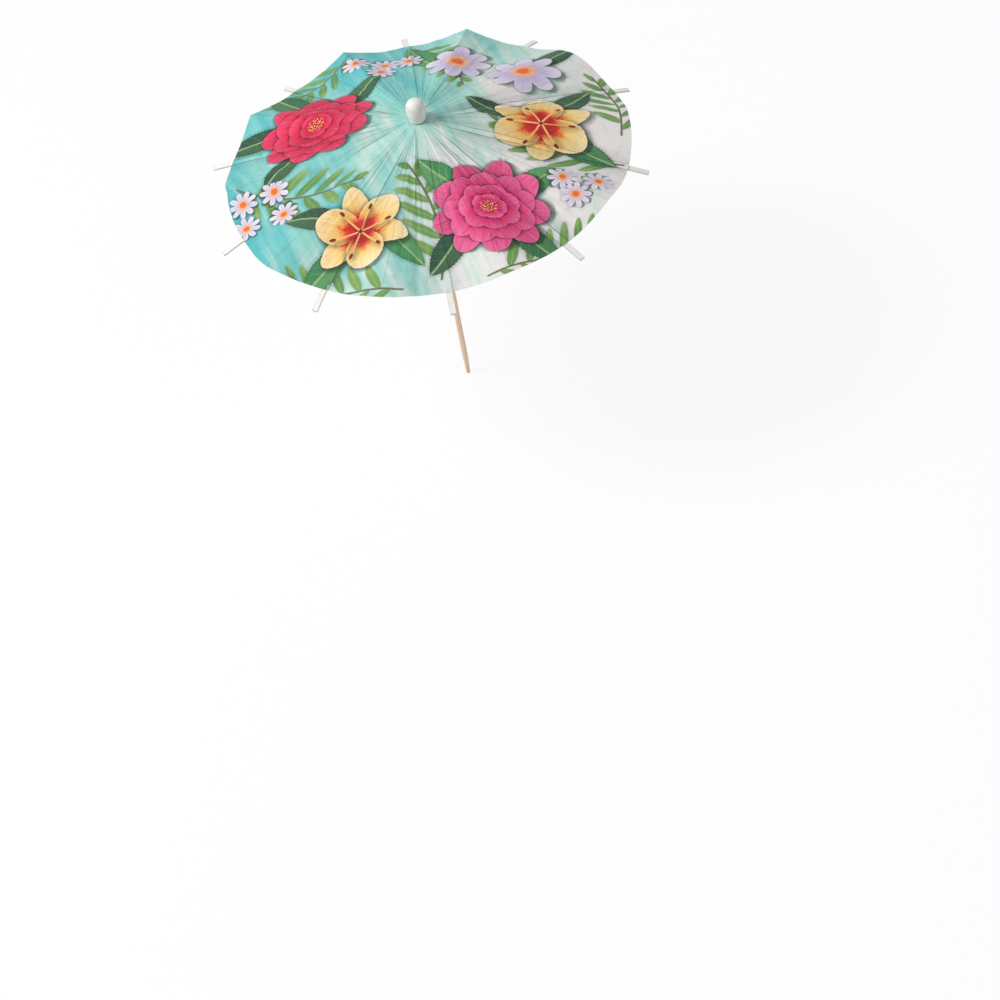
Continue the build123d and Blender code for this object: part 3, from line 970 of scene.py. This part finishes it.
# The flat middle of the disc, under the cap
crown_hole = 0.78
sides = 4 * rib_count
shape = bmesh.new()
rings = []
for lift, share in ((0, 0.0), (0, 0.5), (0, 1.0), (-paper_thickness, 1.0), (-paper_thickness, 0.0)):
    row = []
    for corner in range(sides):
        angle = -pi / 2 + pi / rib_count + 2 * pi * corner / sides
        off_side = (corner % 4 - 2) * 2 * pi / sides
        rim = crown_apothem / cos(off_side)
        radius = (crown_hole + (rim - crown_hole) * share) * mm
        row.append(shape.verts.new((radius * cos(angle), radius * sin(angle), (crown_z + lift) * mm)))
    rings.append(row)
layer = shape.loops.layers.uv.new("print")
for row, following in zip(rings, rings[1:] + rings[:1]):
    for corner in range(sides):
        after = (corner + 1) % sides
        face = shape.faces.new((row[corner], row[after], following[after], following[corner]))
        for loop in face.loops:
            loop[layer].uv = (loop.vert.co.x / mm / print_span + 0.5, loop.vert.co.y / mm / print_span + 0.5)
bmesh.ops.recalc_face_normals(shape, faces=shape.faces)
crown = piece_of("canopy_crown", shape, printed_paper)
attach(crown, "pick")
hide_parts("paper_crown")


# Cap
# A small white moulded bead, domed on top and narrower at its foot, pressed on the end of the stick.
# It holds the paper down on the hub and has a satin, faintly pitted skin.
cap_low, cap_high = 46.13, 52.277
cap_foot, cap_widest, foot_round = 2.05, 2.4, 0.8
shoulder_z = cap_low + 3.5

cap_plastic, shader, place = finish("cap_plastic", 0.7, 0.3)
cloud = place.moved(size=(1.6, 1.6, 1.6)).grain(3.0)
pits = place.moved(size=(0.22, 0.22, 0.22)).grain(3.0, 0.6)
feed(shader, Base_Color=cloud.ease(0.3, 0.7).tint(ink(240, 239, 236), ink(222, 219, 214)))
feed(shader, Roughness=0.62 + 0.2 * pits, Normal=relief(pits, 0.03, 0.6))
shader.inputs["Subsurface Weight"].default_value = 0.1
shader.inputs["Subsurface Radius"].default_value = (0.0008, 0.0008, 0.0007)

profile = [(0, cap_low + 0.02), (cap_foot - foot_round - 0.1, cap_low)]
profile += [
    (cap_foot - foot_round + foot_round * sin(a), cap_low + foot_round - foot_round * cos(a))
    for a in quarter_round
]
profile += [
    (cap_foot + (cap_widest - cap_foot) * sin(step / 8 * pi / 2),
     cap_low + foot_round + (shoulder_z - cap_low - foot_round) * step / 8)
    for step in range(1, 9)
]
dome = cap_high - shoulder_z
profile += [
    (cap_widest * cos(step / 16 * pi / 2) ** 0.72, shoulder_z + dome * sin(step / 16 * pi / 2))
    for step in range(1, 16)
]
profile.append((0, cap_high))
cap = turned("cap_bead", profile, 56, cap_plastic, uneven=0.006, waves=0.5)
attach(cap, "pick")
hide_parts("top_cap")


# Studio
# A white floor at the pick's point and a white surround.
# A soft lamp stands on the left, and a weak one on the right.
floor_size = 3.0
floor_glow, surround_light = 0.88, 0.38


def stage_white(tree, share):
    """A share for rays that see the backdrop: from the camera, by gloss or through a clear piece."""
    path = Wire(tree.nodes.new("ShaderNodeLightPath").outputs["Is Camera Ray"])
    seen = path.math("MAXIMUM", path.out("Is Glossy Ray")).math("MAXIMUM", path.out("Is Transmission Ray"))
    return seen * share


shape = bmesh.new()
half = floor_size / 2
corners = ((-half, -half), (half, -half), (half, half), (-half, half))
shape.faces.new([shape.verts.new((*corner, point_z * mm)) for corner in corners])
floor_white = bpy.data.materials.new("floor_white")
floor_white.use_nodes = True
tree = floor_white.node_tree
shader = tree.nodes["Principled BSDF"]
shader.inputs["Base Color"].default_value = ink(250, 250, 250)
shader.inputs["Roughness"].default_value = 0.9
seen = stage_white(tree, floor_glow)
glow = seen.node("ShaderNodeEmission", {}, {"Color": (1, 1, 1, 1), "Strength": 1.0})
lit = seen.node("ShaderNodeMixShader", {}, {0: seen, 1: Wire(shader.outputs[0]), 2: glow})
behind = Wire(tree.nodes.new("ShaderNodeNewGeometry").outputs["Backfacing"])
clear = behind.node("ShaderNodeBsdfTransparent")
open_floor = behind.node("ShaderNodeMixShader", {}, {0: behind, 1: lit, 2: clear})
tree.links.new(open_floor.socket, tree.nodes["Material Output"].inputs["Surface"])
floor = piece_of("studio_floor", shape, floor_white)
floor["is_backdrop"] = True

world = bpy.data.worlds.new("studio")
bpy.context.scene.world = world
world.use_nodes = True
tree = world.node_tree
fill = tree.nodes["Background"]
fill.inputs["Color"].default_value = (1, 1, 1, 1)
fill.inputs["Strength"].default_value = surround_light
seen = stage_white(tree, 1.0)
white = seen.node("ShaderNodeBackground", {}, {"Color": (1, 1, 1, 1), "Strength": 1.0})
around = seen.node("ShaderNodeMixShader", {}, {0: seen, 1: Wire(fill.outputs[0]), 2: white})
tree.links.new(around.socket, tree.nodes["World Output"].inputs["Surface"])

focus = Vector((0, 0, 33 * mm))
for name, place, side, watts in (
    ("key", (-0.62, -0.02, 0.71), 0.35, 6.5),
    ("fill", (0.6, -0.5, 0.45), 0.8, 0.9),
):
    lamp = bpy.data.lights.new(name, "AREA")
    lamp.size = side
    lamp.energy = watts
    stand = bpy.data.objects.new(name, lamp)
    stand.location = place
    stand.rotation_euler = (focus - Vector(place)).to_track_quat("-Z", "Y").to_euler()
    bpy.context.scene.collection.objects.link(stand)

bpy.context.scene.view_settings.view_transform = "Standard"


# Camera
# It stands where the photograph was taken from: a long lens, above the front of the umbrella.
# It is rolled a little, and its aim puts the canopy in the upper half of the picture.
lens, sensor, picture = 120.0, 36.0, 1000.0
azimuth, elevation, roll = radians(-0.89), radians(37.56), radians(-11.34)
distance = 0.8149
focal = lens / sensor * picture
aim_x, aim_y = 426.5, 162.9
back = Vector((-sin(azimuth) * cos(elevation), -cos(azimuth) * cos(elevation), sin(elevation)))
right = (-back).cross(Vector((0, 0, 1))).normalized()
up = right.cross(-back)
rolled_right = right * cos(roll) + up * sin(roll)
rolled_up = up * cos(roll) - right * sin(roll)
facing = Matrix((rolled_right, rolled_up, back)).transposed()
sight = Vector(((aim_x - picture / 2) / focal, (picture / 2 - aim_y) / focal, -1)).normalized()
camera = bpy.data.cameras.new("camera")
camera.lens = lens
camera.sensor_width = sensor
camera.clip_start, camera.clip_end = 0.01, 20
view = bpy.data.objects.new("camera", camera)
view.location = focus + back * distance
view.rotation_mode = "QUATERNION"
aimed = sight.rotation_difference(Vector((0, 0, -1))).to_matrix()
view.rotation_quaternion = (facing @ aimed).to_quaternion()
bpy.context.scene.collection.objects.link(view)
bpy.context.scene.camera = view

low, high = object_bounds()
